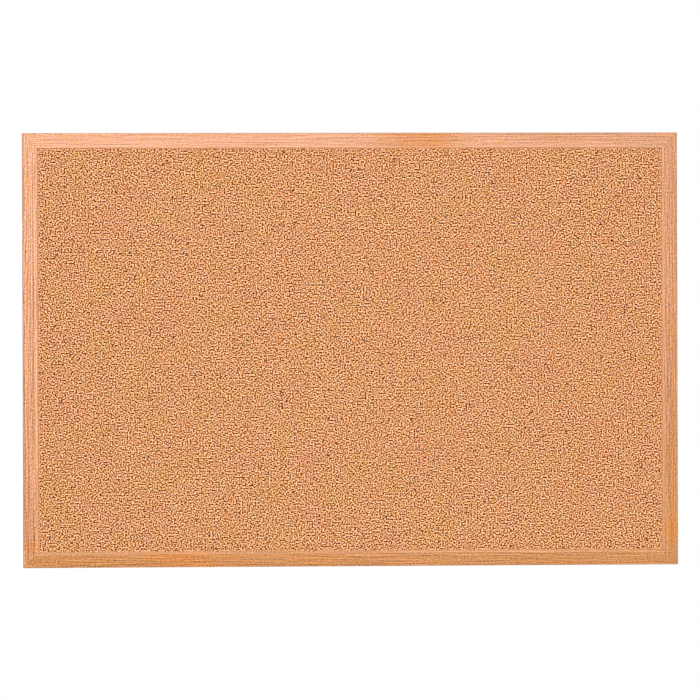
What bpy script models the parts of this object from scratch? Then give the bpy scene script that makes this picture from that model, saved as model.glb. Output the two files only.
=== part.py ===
"""Framed cork bulletin board, modelled as it goes together on a bench.

Four mitred oak rails hold a cork sheet that is glued to a hardboard backer. V-nails tie the
mitres from behind, framer's points hold the panel in the rabbet, and two D-ring hangers and two
rubber bumpers carry the board on a wall.

Metres, +Z up. The board faces -Y. The origin lies in the plane of the wall, behind the centre
of the board.
"""

import math

import bmesh
import bpy
from mathutils import Matrix, Vector

# Board and frame moulding
BOARD_WIDTH = 0.902
BOARD_HEIGHT = 0.597
RAIL_FACE = 0.0206
LIP_THICKNESS = 0.0040
LIP_OVERLAP = 0.00635
OUTER_EASE = 0.0016
INNER_EASE = 0.0012
BACK_EASE = 0.0008
EASE_STEPS = 5

# Panel
CORK_THICKNESS = 0.00635
BACKER_THICKNESS = 0.0048
PANEL_RECESS = 0.0033
PANEL_SIDE_CLEARANCE = 0.0008

# Clearances
FACE_GAP = 0.0003
MITRE_GAP = 0.0003
CUT_OVERRUN = 0.001

# V-nails: height is along the board's thickness
NAIL_HEIGHT = 0.010
NAIL_WING = 0.0045
NAIL_STEEL = 0.0006
NAIL_HALF_ANGLE = math.radians(50)
NAIL_BEND_RADIUS = 0.0008
NAIL_BEND_STEPS = 5
NAIL_SUNK = 0.0002
NAIL_PLACES = {"outer": 0.27, "inner": 0.60}

# Framer's points
POINT_LENGTH = 0.0150
POINT_WIDTH = 0.0064
POINT_STEEL = 0.0005
POINT_NOSE = 0.0035
POINT_TIP_WIDTH = 0.0006
POINT_BITE = 0.0070
POINT_TAIL_STEPS = 10
POINTS_ON_RAIL = 5
POINTS_ON_STILE = 3
POINT_FROM_PANEL_CORNER = 0.075

# D-ring hangers
RING_WIRE = 0.0020
RING_SIDE_PLAY = 0.00075
RING_EYE = 0.0058
RING_ARC_STEPS = 16
RING_CORNER_STEPS = 4
STRAP_STEEL = 0.0008
STRAP_WIDTH = 0.0095
STRAP_HEEL = 0.0032
STRAP_TOE = 0.0006
HANGER_BELOW_POINT = 0.030
RING_INSIDE_EDGE = 0.0005
EYE_STEPS = 20

# Hanger screws
SCREW_LENGTH = 0.012
SCREW_SHANK = 0.0025
SCREW_TIP = 0.0030
SCREW_HEAD = 0.0060
SCREW_HEAD_HEIGHT = 0.0019
SCREW_HEAD_EDGE = 0.0006
SCREW_RECESS_SPAN = 0.0034
SCREW_RECESS_ARM = 0.0008
SCREW_RECESS_DEPTH = 0.0012

# Bumpers
BUMPER_DIAMETER = 0.010
BUMPER_TAPER = 0.0007
BUMPER_ROUND = 0.0009
BUMPER_FROM_SIDE = 0.040

TURNED_STEPS = 32
SMOOTH_ANGLE = math.radians(35)

# Worked out from the sizes above. Depth runs back from the frame's front face.
RAIL_DEPTH = (
    LIP_THICKNESS + FACE_GAP + CORK_THICKNESS + FACE_GAP + BACKER_THICKNESS + PANEL_RECESS
)
BACK_WALL = RAIL_FACE - LIP_OVERLAP
EYE_INNER = RING_WIRE / 2 + FACE_GAP
EYE_OUTER = EYE_INNER + STRAP_STEEL
WALL_GAP = FACE_GAP + 2 * EYE_OUTER
SCREW_FROM_BAR = STRAP_HEEL + FACE_GAP + SCREW_HEAD / 2
STRAP_END = SCREW_FROM_BAR + SCREW_HEAD / 2 + STRAP_TOE
RING_HALF = STRAP_WIDTH / 2 + RING_SIDE_PLAY + RING_WIRE / 2
RING_CORNER = RING_HALF - STRAP_WIDTH / 2 - FACE_GAP / 2
RING_LEG = STRAP_END + RING_EYE - (RING_HALF - RING_WIRE / 2)
BACK_Y = -WALL_GAP
FRONT_Y = BACK_Y - RAIL_DEPTH
CORK_FRONT_Y = FRONT_Y + LIP_THICKNESS + FACE_GAP
BACKER_FRONT_Y = CORK_FRONT_Y + CORK_THICKNESS + FACE_GAP
BACKER_BACK_Y = BACKER_FRONT_Y + BACKER_THICKNESS
PANEL_WIDTH = BOARD_WIDTH - 2 * (BACK_WALL + PANEL_SIDE_CLEARANCE)
PANEL_HEIGHT = BOARD_HEIGHT - 2 * (BACK_WALL + PANEL_SIDE_CLEARANCE)
POINT_Y = BACKER_BACK_Y + FACE_GAP + POINT_STEEL / 2
HANGER_X = BOARD_WIDTH / 2 - RING_INSIDE_EDGE - RING_HALF - RING_WIRE / 2
HANGER_Y = BACK_Y + FACE_GAP + EYE_OUTER
HANGER_Z = PANEL_HEIGHT / 2 - POINT_FROM_PANEL_CORNER - HANGER_BELOW_POINT
BUMPER_X = BOARD_WIDTH / 2 - BUMPER_FROM_SIDE
BUMPER_Z = -BOARD_HEIGHT / 2 + BACK_WALL / 2

X = Vector((1, 0, 0))
Y = Vector((0, 1, 0))
Z = Vector((0, 0, 1))


def clear_scene():
    for obj in list(bpy.data.objects):
        bpy.data.objects.remove(obj, do_unlink=True)


def new_collection(name):
    collection = bpy.data.collections.new(name)
    bpy.context.scene.collection.children.link(collection)
    return collection


def new_material(name, colour, roughness, metallic=0.0):
    material = bpy.data.materials.new(name)
    material.use_nodes = True
    shader = material.node_tree.nodes["Principled BSDF"]
    shader.inputs["Base Color"].default_value = (*colour, 1.0)
    shader.inputs["Roughness"].default_value = roughness
    shader.inputs["Metallic"].default_value = metallic
    material.diffuse_color = (*colour, 1.0)
    return material


def axes_matrix(origin, x_axis, y_axis):
    """Placement whose local X and Y are the given unit directions."""
    z_axis = x_axis.cross(y_axis)
    rotation = Matrix((x_axis, y_axis, z_axis)).transposed()
    return Matrix.Translation(origin) @ rotation.to_4x4()


def add_piece(name, data, material, matrix=None, parent=None):
    """Put a piece in the board's collection."""
    piece = bpy.data.objects.new(name, data)
    board.objects.link(piece)
    if data.materials:
        data.materials[0] = material
    else:
        data.materials.append(material)
    piece.parent = parent
    if matrix is not None:
        piece.matrix_local = matrix
    return piece


def add_cutter(name, mesh, matrix, *groups):
    """A cutter, in the collections of the pieces that it cuts."""
    cutter = bpy.data.objects.new(name, mesh)
    for group in groups:
        group.objects.link(cutter)
    cutter.matrix_world = matrix
    cutter.hide_render = True
    cutter.display_type = "WIRE"
    return cutter


def cut_group(piece):
    """The collection of a piece's cutters, which one Boolean takes out of it."""
    group = bpy.data.collections.new(f"{piece.name}_cutters")
    cutters.children.link(group)
    modifier = piece.modifiers.new("cut", "BOOLEAN")
    modifier.operation = "DIFFERENCE"
    modifier.solver = "EXACT"
    modifier.operand_type = "COLLECTION"
    modifier.collection = group
    return group


def trim_to(piece, shape):
    modifier = piece.modifiers.new("trimmed", "BOOLEAN")
    modifier.operation = "INTERSECT"
    modifier.solver = "EXACT"
    modifier.object = shape


def smooth(mesh):
    mesh.shade_smooth()
    mesh.set_sharp_from_angle(angle=SMOOTH_ANGLE)


def arc(centre_x, centre_y, radius, start, end, steps):
    """Points on an arc, both ends included."""
    angles = [start + (end - start) * i / steps for i in range(steps + 1)]
    return [(centre_x + radius * math.cos(a), centre_y + radius * math.sin(a)) for a in angles]


def outline_mesh(name, outlines, thickness):
    """Flat outlines, filled and given a thickness centred on the XY plane."""
    curve = bpy.data.curves.new(name, "CURVE")
    curve.dimensions = "2D"
    curve.fill_mode = "BOTH"
    curve.extrude = thickness / 2
    for outline in outlines:
        spline = curve.splines.new("POLY")
        spline.points.add(len(outline) - 1)
        for point, (x, y) in zip(spline.points, outline):
            point.co = (x, y, 0, 1)
        spline.use_cyclic_u = True
    drawn = bpy.data.objects.new(name, curve)
    bpy.context.scene.collection.objects.link(drawn)
    graph = bpy.context.evaluated_depsgraph_get()
    mesh = bpy.data.meshes.new_from_object(drawn.evaluated_get(graph))
    bpy.data.objects.remove(drawn)
    bm = bmesh.new()
    bm.from_mesh(mesh)
    bmesh.ops.remove_doubles(bm, verts=bm.verts, dist=1e-6)
    bmesh.ops.recalc_face_normals(bm, faces=bm.faces)
    bm.to_mesh(mesh)
    bm.free()
    return mesh


def box_mesh(name, size):
    bm = bmesh.new()
    bmesh.ops.create_cube(bm, size=1)
    bmesh.ops.scale(bm, vec=size, verts=bm.verts)
    mesh = bpy.data.meshes.new(name)
    bm.to_mesh(mesh)
    bm.free()
    return mesh


def cylinder_mesh(name, radius, length):
    """A cylinder about Z, from the origin down to -length."""
    bm = bmesh.new()
    bmesh.ops.create_cone(
        bm, cap_ends=True, segments=TURNED_STEPS, radius1=radius, radius2=radius, depth=length
    )
    bmesh.ops.translate(bm, vec=(0, 0, -length / 2), verts=bm.verts)
    mesh = bpy.data.meshes.new(name)
    bm.to_mesh(mesh)
    bm.free()
    return mesh


def profile_mesh(name, profile):
    """The edge line that a Screw modifier turns about Z."""
    mesh = bpy.data.meshes.new(name)
    edges = [(i, i + 1) for i in range(len(profile) - 1)]
    mesh.from_pydata([(r, 0, z) for r, z in profile], edges, [])
    return mesh


def turn(piece):
    modifier = piece.modifiers.new("turned", "SCREW")
    modifier.axis = "Z"
    modifier.steps = TURNED_STEPS
    modifier.render_steps = TURNED_STEPS
    modifier.use_merge_vertices = True
    modifier.merge_threshold = 1e-5
    modifier.use_smooth_shade = True


# Frame


def rail_section():
    """The moulding's section: x runs in from the outer edge, y runs back from the front face."""
    quarter = math.pi / 2
    return [
        *arc(OUTER_EASE, OUTER_EASE, OUTER_EASE, 2 * quarter, 3 * quarter, EASE_STEPS),
        *arc(RAIL_FACE - INNER_EASE, INNER_EASE, INNER_EASE, -quarter, 0, EASE_STEPS),
        (RAIL_FACE, LIP_THICKNESS),
        (BACK_WALL, LIP_THICKNESS),
        (BACK_WALL, RAIL_DEPTH),
        *arc(BACK_EASE, RAIL_DEPTH - BACK_EASE, BACK_EASE, quarter, 2 * quarter, EASE_STEPS),
    ]


def rail_mesh(name, length):
    """A length of moulding whose ends are pulled back to 45 degrees."""
    mesh = outline_mesh(name, [rail_section()], length)
    for vertex in mesh.vertices:
        end = length / 2 - vertex.co.x - MITRE_GAP / math.sqrt(2)
        vertex.co.z = math.copysign(end, vertex.co.z)
    bm = bmesh.new()
    bm.from_mesh(mesh)
    bmesh.ops.triangulate(bm, faces=bm.faces)
    bm.to_mesh(mesh)
    bm.free()
    smooth(mesh)
    return mesh


def build_frame():
    """The four rails. Returns the collection of each one's cutters."""
    cuts = {}
    places = [
        ("top_rail", BOARD_WIDTH, BOARD_HEIGHT, -Z),
        ("bottom_rail", BOARD_WIDTH, BOARD_HEIGHT, Z),
        ("left_stile", BOARD_HEIGHT, BOARD_WIDTH, X),
        ("right_stile", BOARD_HEIGHT, BOARD_WIDTH, -X),
    ]
    for name, length, across, inwards in places:
        origin = -inwards * across / 2 + Y * FRONT_Y
        rail = add_piece(name, rail_mesh(name, length), oak, axes_matrix(origin, inwards, Y))
        cuts[name] = cut_group(rail)
    return cuts


# Panel


def build_panel():
    cork_y = CORK_FRONT_Y + CORK_THICKNESS / 2
    backer_y = BACKER_FRONT_Y + BACKER_THICKNESS / 2
    cork_size = (PANEL_WIDTH, CORK_THICKNESS, PANEL_HEIGHT)
    backer_size = (PANEL_WIDTH, BACKER_THICKNESS, PANEL_HEIGHT)
    add_piece("cork_sheet", box_mesh("cork_sheet", cork_size), cork, Matrix.Translation(Y * cork_y))
    add_piece(
        "backer_board",
        box_mesh("backer_board", backer_size),
        hardboard,
        Matrix.Translation(Y * backer_y),
    )


# V-nails


def nail_mesh(name, wing, height):
    """The nail's sheet: a V that opens along +X, from the XY plane down to -height."""
    bend_reach = NAIL_BEND_RADIUS / math.tan(NAIL_HALF_ANGLE)
    bend_start = math.pi / 2 + NAIL_HALF_ANGLE
    bend_centre = NAIL_BEND_RADIUS / math.sin(NAIL_HALF_ANGLE)
    bend_end = 2 * math.pi - bend_start
    bend = arc(bend_centre, 0, NAIL_BEND_RADIUS, bend_start, bend_end, NAIL_BEND_STEPS)
    tip = (bend_reach + wing) * math.cos(NAIL_HALF_ANGLE)
    spread = (bend_reach + wing) * math.sin(NAIL_HALF_ANGLE)
    path = [(tip, spread), *bend, (tip, -spread)]
    bm = bmesh.new()
    top = [bm.verts.new((x, y, 0)) for x, y in path]
    edges = [bm.edges.new(pair) for pair in zip(top, top[1:])]
    sheet = bmesh.ops.extrude_edge_only(bm, edges=edges)
    foot = [item for item in sheet["geom"] if isinstance(item, bmesh.types.BMVert)]
    bmesh.ops.translate(bm, vec=(0, 0, -height), verts=foot)
    mesh = bpy.data.meshes.new(name)
    bm.to_mesh(mesh)
    bm.free()
    return mesh


def thicken(piece, thickness):
    modifier = piece.modifiers.new("steel", "SOLIDIFY")
    modifier.thickness = thickness
    modifier.offset = 0
    modifier.use_even_offset = True


def build_corner_nails(cuts):
    slot_height = NAIL_HEIGHT + NAIL_SUNK + FACE_GAP + CUT_OVERRUN
    corners = [
        ("top_left", "top_rail", "left_stile", -X, Z),
        ("top_right", "top_rail", "right_stile", X, Z),
        ("bottom_left", "bottom_rail", "left_stile", -X, -Z),
        ("bottom_right", "bottom_rail", "right_stile", X, -Z),
    ]
    for corner, rail, stile, side, end in corners:
        outer_corner = side * BOARD_WIDTH / 2 + end * BOARD_HEIGHT / 2
        inwards = -(side + end).normalized()
        for place, share in NAIL_PLACES.items():
            along = inwards * BACK_WALL * math.sqrt(2) * share
            across = Y.cross(inwards)
            head = outer_corner + along + Y * (BACK_Y - NAIL_SUNK)
            name = f"corner_nail_{corner}_{place}"
            nail = add_piece(
                name, nail_mesh(name, NAIL_WING, NAIL_HEIGHT), steel,
                axes_matrix(head, inwards, across),
            )
            thicken(nail, NAIL_STEEL)
            mouth = outer_corner + along + Y * (BACK_Y + CUT_OVERRUN)
            slot = add_cutter(
                f"{name}_slot",
                nail_mesh(f"{name}_slot", NAIL_WING + FACE_GAP, slot_height),
                axes_matrix(mouth, inwards, across),
                cuts[rail],
                cuts[stile],
            )
            thicken(slot, NAIL_STEEL + 2 * FACE_GAP)


# Framer's points


def point_outline(clearance):
    """A pointed tab seen flat: the tip is at the origin and the round tail is along +X."""
    half = POINT_WIDTH / 2 + clearance
    tip = POINT_TIP_WIDTH / 2 + clearance
    tail = arc(
        POINT_LENGTH - POINT_WIDTH / 2, 0, half, math.pi / 2, -math.pi / 2, POINT_TAIL_STEPS
    )
    return [(-clearance, -tip), (-clearance, tip), (POINT_NOSE, half), *tail, (POINT_NOSE, -half)]


def spread_places(panel_length, count):
    """Even places along a side, with the end ones a set distance from the panel's corners."""
    reach = panel_length / 2 - POINT_FROM_PANEL_CORNER
    return [-reach + 2 * reach * i / (count - 1) for i in range(count)]


def build_framer_points(cuts):
    sides = [
        ("top", "top_rail", Z, X, BOARD_HEIGHT, PANEL_WIDTH, POINTS_ON_RAIL),
        ("bottom", "bottom_rail", -Z, X, BOARD_HEIGHT, PANEL_WIDTH, POINTS_ON_RAIL),
        ("left", "left_stile", -X, -Z, BOARD_WIDTH, PANEL_HEIGHT, POINTS_ON_STILE),
        ("right", "right_stile", X, -Z, BOARD_WIDTH, PANEL_HEIGHT, POINTS_ON_STILE),
    ]
    for side, rail, outwards, along, across, panel_length, count in sides:
        for number, place in enumerate(spread_places(panel_length, count), start=1):
            wall = across / 2 - BACK_WALL
            tip = outwards * (wall + POINT_BITE) + along * place + Y * POINT_Y
            name = f"framer_point_{side}_{number}"
            matrix = axes_matrix(tip, -outwards, Y.cross(-outwards))
            add_piece(name, outline_mesh(name, [point_outline(0)], POINT_STEEL), steel, matrix)
            slot_thickness = POINT_STEEL + 2 * FACE_GAP
            slot_mesh = outline_mesh(f"{name}_slot", [point_outline(FACE_GAP)], slot_thickness)
            add_cutter(f"{name}_slot", slot_mesh, matrix, cuts[rail])


# Hangers: local X runs across the board, Y towards the wall, Z up


def ring_curve(name):
    """A D of round wire that hangs from its straight bar, which lies on local X."""
    quarter = math.pi / 2
    corner = RING_HALF - RING_CORNER
    route = [
        *arc(-corner, -RING_CORNER, RING_CORNER, 2 * quarter, quarter, RING_CORNER_STEPS),
        *arc(corner, -RING_CORNER, RING_CORNER, quarter, 0, RING_CORNER_STEPS),
        *arc(0, -RING_LEG, RING_HALF, 0, -2 * quarter, RING_ARC_STEPS),
    ]
    curve = bpy.data.curves.new(name, "CURVE")
    curve.dimensions = "3D"
    curve.bevel_depth = RING_WIRE / 2
    curve.bevel_resolution = 3
    spline = curve.splines.new("POLY")
    spline.points.add(len(route) - 1)
    for point, (x, z) in zip(spline.points, route):
        point.co = (x, 0, z, 1)
    spline.use_cyclic_u = True
    return curve


def strap_side_outlines():
    """The folded strap seen from the side: x runs up from the bar, y runs away from the wood."""
    plate_top = -EYE_OUTER + 2 * STRAP_STEEL
    rise = -plate_top
    reach = math.hypot(STRAP_HEEL, rise)
    lean = math.atan2(rise, STRAP_HEEL) + math.asin(EYE_OUTER / reach)
    leave = math.pi / 2 + lean
    fold = arc(0, 0, EYE_OUTER, -math.pi / 2, leave, EYE_STEPS)
    outer = [(-STRAP_END, plate_top), (-STRAP_END, -EYE_OUTER), *fold, (-STRAP_HEEL, plate_top)]
    hole = arc(0, 0, EYE_INNER, 0, 2 * math.pi, EYE_STEPS)[:-1]
    return [outer, hole]


def strap_plan_outline():
    """The strap seen from the wall: x runs across it and y runs up it."""
    half = STRAP_WIDTH / 2
    end = arc(0, half - STRAP_END, half, math.pi, 2 * math.pi, EYE_STEPS)
    above = EYE_OUTER + CUT_OVERRUN
    return [*end, (half, above), (-half, above)]


def screw_profile():
    """Pan-head screw, tip down, with the underside of its head at the origin."""
    head = SCREW_HEAD / 2
    shank = SCREW_SHANK / 2
    crown_start = head - SCREW_HEAD_EDGE
    rounded = arc(
        crown_start, SCREW_HEAD_HEIGHT - SCREW_HEAD_EDGE, SCREW_HEAD_EDGE, math.pi / 2, 0, EASE_STEPS
    )
    return [
        (0, SCREW_HEAD_HEIGHT),
        *rounded,
        (head, 0),
        (shank, 0),
        (shank, SCREW_TIP - SCREW_LENGTH),
        (0, -SCREW_LENGTH),
    ]


def build_hanger(side, direction, stile_cuts):
    bar = bpy.data.objects.new(f"{side}_hanger_bar", None)
    board.objects.link(bar)
    bar.location = (direction * HANGER_X, HANGER_Y, HANGER_Z)

    name = f"{side}_hanger_ring"
    add_piece(name, ring_curve(name), steel, parent=bar)

    name = f"{side}_hanger_strap"
    strap_matrix = axes_matrix(Vector(), Z, Y)
    strap_mesh = outline_mesh(name, strap_side_outlines(), STRAP_WIDTH + 2 * CUT_OVERRUN)
    smooth(strap_mesh)
    strap = add_piece(name, strap_mesh, steel, strap_matrix, bar)
    plan = outline_mesh(f"{name}_plan", [strap_plan_outline()], 4 * EYE_OUTER)
    facing_wall = axes_matrix(bar.location, X, Z)
    trim_to(strap, add_cutter(f"{name}_plan", plan, facing_wall, cutters))
    strap_cuts = cut_group(strap)

    head_seat = Vector((0, -EYE_OUTER + 2 * STRAP_STEEL + FACE_GAP, -SCREW_FROM_BAR))
    screw_matrix = axes_matrix(head_seat, X, -Z)
    name = f"{side}_hanger_screw"
    screw = add_piece(name, profile_mesh(name, screw_profile()), steel, screw_matrix, bar)
    turn(screw)
    screw_cuts = cut_group(screw)
    seat_in_board = axes_matrix(bar.location + head_seat, X, -Z)
    recess_place = seat_in_board @ Matrix.Translation(Z * SCREW_HEAD_HEIGHT)
    for slot, slot_axes in (("across", (X, Y)), ("along", (Y, -X))):
        slot_size = (SCREW_RECESS_SPAN, SCREW_RECESS_ARM, 2 * SCREW_RECESS_DEPTH)
        slot_mesh = box_mesh(f"{name}_slot_{slot}", slot_size)
        slot_place = recess_place @ axes_matrix(Vector(), *slot_axes)
        add_cutter(f"{name}_slot_{slot}", slot_mesh, slot_place, screw_cuts)

    hole_mesh = cylinder_mesh(
        f"{name}_hole", SCREW_SHANK / 2 + FACE_GAP, SCREW_LENGTH + FACE_GAP + CUT_OVERRUN
    )
    hole_place = seat_in_board @ Matrix.Translation(Z * CUT_OVERRUN)
    add_cutter(f"{name}_hole", hole_mesh, hole_place, strap_cuts, stile_cuts)


# Bumpers


def bumper_profile():
    height = WALL_GAP - FACE_GAP
    base = BUMPER_DIAMETER / 2
    tip = base - BUMPER_TAPER
    rounded = arc(tip - BUMPER_ROUND, height - BUMPER_ROUND, BUMPER_ROUND, math.pi / 2, 0, EASE_STEPS)
    return [(0, height), *rounded, (base, 0), (0, 0)]


def build_bumpers():
    for side, direction in (("left", -1), ("right", 1)):
        name = f"{side}_bumper"
        seat = Vector((direction * BUMPER_X, BACK_Y + FACE_GAP, BUMPER_Z))
        bumper = add_piece(
            name, profile_mesh(name, bumper_profile()), rubber, axes_matrix(seat, X, -Z)
        )
        turn(bumper)


def main():
    cuts = build_frame()
    build_panel()
    build_corner_nails(cuts)
    build_framer_points(cuts)
    build_hanger("left", -1, cuts["left_stile"])
    build_hanger("right", 1, cuts["right_stile"])
    build_bumpers()


clear_scene()
board = new_collection("Cork_Bulletin_Board")
cutters = new_collection("Cutters")
oak = new_material("oak", (0.76, 0.40, 0.23), 0.45)
cork = new_material("cork", (0.66, 0.30, 0.14), 0.90)
hardboard = new_material("hardboard", (0.20, 0.10, 0.05), 0.70)
steel = new_material("zinc_steel", (0.62, 0.62, 0.60), 0.35, 1.0)
rubber = new_material("rubber", (0.04, 0.04, 0.04), 0.80)
main()
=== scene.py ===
"""Surfaces and studio for an oak-framed cork bulletin board.

Run as a script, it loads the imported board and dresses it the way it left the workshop: pressed
cork granules behind a mitred oak moulding, a hardboard back, and plated steel to hold it together
and hang it. A pale studio and a camera come last.
"""

import math

import bmesh
import bpy
import numpy as np
from bpy.props import (
    FloatProperty,
    FloatVectorProperty,
    IntProperty,
    PointerProperty,
)
from mathutils import Matrix, Vector
from mathutils.geometry import delaunay_2d_cdt


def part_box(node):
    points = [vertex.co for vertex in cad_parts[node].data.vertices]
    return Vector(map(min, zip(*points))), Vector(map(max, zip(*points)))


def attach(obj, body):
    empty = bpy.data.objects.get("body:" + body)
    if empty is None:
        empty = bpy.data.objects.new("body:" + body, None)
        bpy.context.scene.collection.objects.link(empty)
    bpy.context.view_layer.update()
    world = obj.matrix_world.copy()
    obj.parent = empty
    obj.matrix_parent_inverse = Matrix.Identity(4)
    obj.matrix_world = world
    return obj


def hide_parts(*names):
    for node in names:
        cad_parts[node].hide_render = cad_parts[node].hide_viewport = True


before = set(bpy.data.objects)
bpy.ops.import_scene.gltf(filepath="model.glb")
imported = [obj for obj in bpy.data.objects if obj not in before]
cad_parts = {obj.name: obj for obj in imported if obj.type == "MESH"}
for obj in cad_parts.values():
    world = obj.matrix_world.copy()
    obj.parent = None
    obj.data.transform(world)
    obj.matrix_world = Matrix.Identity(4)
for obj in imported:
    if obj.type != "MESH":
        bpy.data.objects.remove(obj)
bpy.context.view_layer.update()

bl_info = {
    "name": "Cork Board Finish",
    "version": (1, 0, 0),
    "blender": (4, 5, 0),
    "location": "View3D > Sidebar > Cork Board",
    "description": "Cork, oak, hardboard and plated steel for a framed bulletin board",
    "category": "Object",
}

BAKE_MAP = "OFBake"

# Cork. SHAKE moves a seed by up to this share of the granule size. CROWN_FALL is how far the
# lowest granule's top lies towards the deepest pit, and PIT_FLOOR how far the shallowest pit does.
# A pit is also painted as dark as it is deep: painted shade between the granules.
# CRUMBS is the share of pits that hold a bark crumb, and CRUMB_DARK how dark one is beside the
# deepest pit. SHREDS is the noise's cells a metre, SHRED_STEP how far in metres it is moved aside
# before it is taken from itself, and SHRED_SLOPES the ways in which it is moved.
SHAKE = 0.32
GRANULE_STRETCH = 1.07
CROWN_FALL = 0.35
PIT_FLOOR = 0.5
CRUMBS = 0.012
CRUMB_DARK = 1.4
SHREDS = 460.0
SHRED_STEP = 0.0006
SHRED_SLOPES = (math.radians(54), math.radians(126))
# The cork is painted lighter this far in from the frame's inner edge: painted light against the
# shade under the lip.
PAINTED_LIP_LIGHT_WIDTH = 0.0024

# Shares of the bake map: a margin at its sides, and a strip at its foot for the hidden faces.
MAP_MARGIN = 0.01
MAP_STRIP = 0.06

# Oak. Each stick is cut from its own place along one long noise, in metres.
STICK_CUT = {"top_rail": 0.0, "bottom_rail": 3.1, "left_stile": 7.3, "right_stile": 11.9}
STREAK_STEP = 0.0007

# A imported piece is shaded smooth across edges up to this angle.
CREASE = math.radians(32)

# The board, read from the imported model. It faces -Y.
CORK_LOW, CORK_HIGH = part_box("cork_sheet")
FRAME_LOW = Vector(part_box("left_stile")[0])
FRAME_HIGH = Vector(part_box("right_stile")[1])
FRAME_LOW.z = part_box("bottom_rail")[0].z
FRAME_HIGH.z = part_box("top_rail")[1].z
RAIL_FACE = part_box("left_stile")[1].x - FRAME_LOW.x

NAILS = sorted(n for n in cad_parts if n.startswith("corner_nail_"))
POINTS = sorted(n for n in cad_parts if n.startswith("framer_point_"))
SIDES = ("left", "right")


# Settings


def colour(name, default, description):
    return FloatVectorProperty(
        name=name,
        description=description,
        default=default,
        subtype="COLOR",
        size=3,
        min=0.0,
        max=1.0,
    )


def share(name, default, description):
    return FloatProperty(
        name=name, description=description, default=default, min=0.0, max=1.0, subtype="FACTOR"
    )


class CorkSettings(bpy.types.PropertyGroup):
    granule_size: FloatProperty(
        name="Granule size",
        description="Usual distance between the middles of two cork granules",
        default=0.00397,
        min=0.002,
        max=0.02,
        unit="LENGTH",
    )
    relief: FloatProperty(
        name="Relief",
        description="How deep the pits between the granules go",
        default=0.00075,
        min=0.0,
        max=0.003,
        unit="LENGTH",
    )
    seed: IntProperty(name="Seed", description="Another number lays other granules", default=11)
    pale: colour("Pale granules", (0.93, 0.55, 0.325), "The lightest cork granules")
    middle: colour("Middle granules", (0.69, 0.258, 0.051), "The usual cork granules")
    brown: colour("Brown granules", (0.42, 0.108, 0.005), "The darkest whole granules")
    # Bark also paints the pits: painted shade, as dark as each pit is deep, besides real bark
    # crumbs.
    bark: colour("Bark", (0.075, 0.009, 0.0), "Bark crumbs and the pits between granules")


class OakSettings(bpy.types.PropertyGroup):
    # From rosy at the upper left to golden at the lower right: partly the sticks' own oak, partly
    # painted light falling from the upper left.
    rosy: colour("Rosy oak", (0.78, 0.37, 0.21), "Oak at the upper left, where it is palest")
    warm: colour("Warm oak", (0.635, 0.303, 0.165), "Oak at the middle of the range")
    honey: colour("Honey oak", (0.60, 0.275, 0.13), "Oak between warm and golden")
    golden: colour("Golden oak", (0.535, 0.228, 0.076), "Oak where the stick runs golden")
    amber: colour("Amber oak", (0.60, 0.215, 0.045), "The streaks with the most colour")
    line: colour("Grain line", (0.33, 0.11, 0.04), "Early wood lines and open pores")
    gloss: share("Varnish roughness", 0.42, "How dull the satin varnish is")


class HardwareSettings(bpy.types.PropertyGroup):
    hardboard: colour("Hardboard", (0.20, 0.105, 0.055), "The panel's back")
    zinc: colour("Zinc", (0.62, 0.62, 0.60), "Plated steel")
    rubber: colour("Rubber", (0.035, 0.035, 0.036), "The bumpers")


class StudioSettings(bpy.types.PropertyGroup):
    floor: colour("Floor", (0.82, 0.81, 0.80), "The pale floor below the board")
    floor_drop: FloatProperty(
        name="Floor drop",
        description="How far below the board's middle the floor lies",
        default=1.25,
        unit="LENGTH",
    )
    key: FloatProperty(name="Key light", description="Watts of the main light", default=66.0)
    fill: FloatProperty(name="Fill light", description="Watts of the softer light", default=28.0)
    rear: FloatProperty(name="Rear light", description="Watts behind the board", default=30.0)
    sky: share("Surround", 0.53, "How bright the white surround lights the board")
    lens: FloatProperty(
        name="Lens", description="Focal length", default=60.0, unit="CAMERA", min=10.0
    )
    distance: FloatProperty(
        name="Camera distance",
        description="From the camera to the wall's plane",
        default=1.62841,
        unit="LENGTH",
    )


# Node wiring


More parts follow.
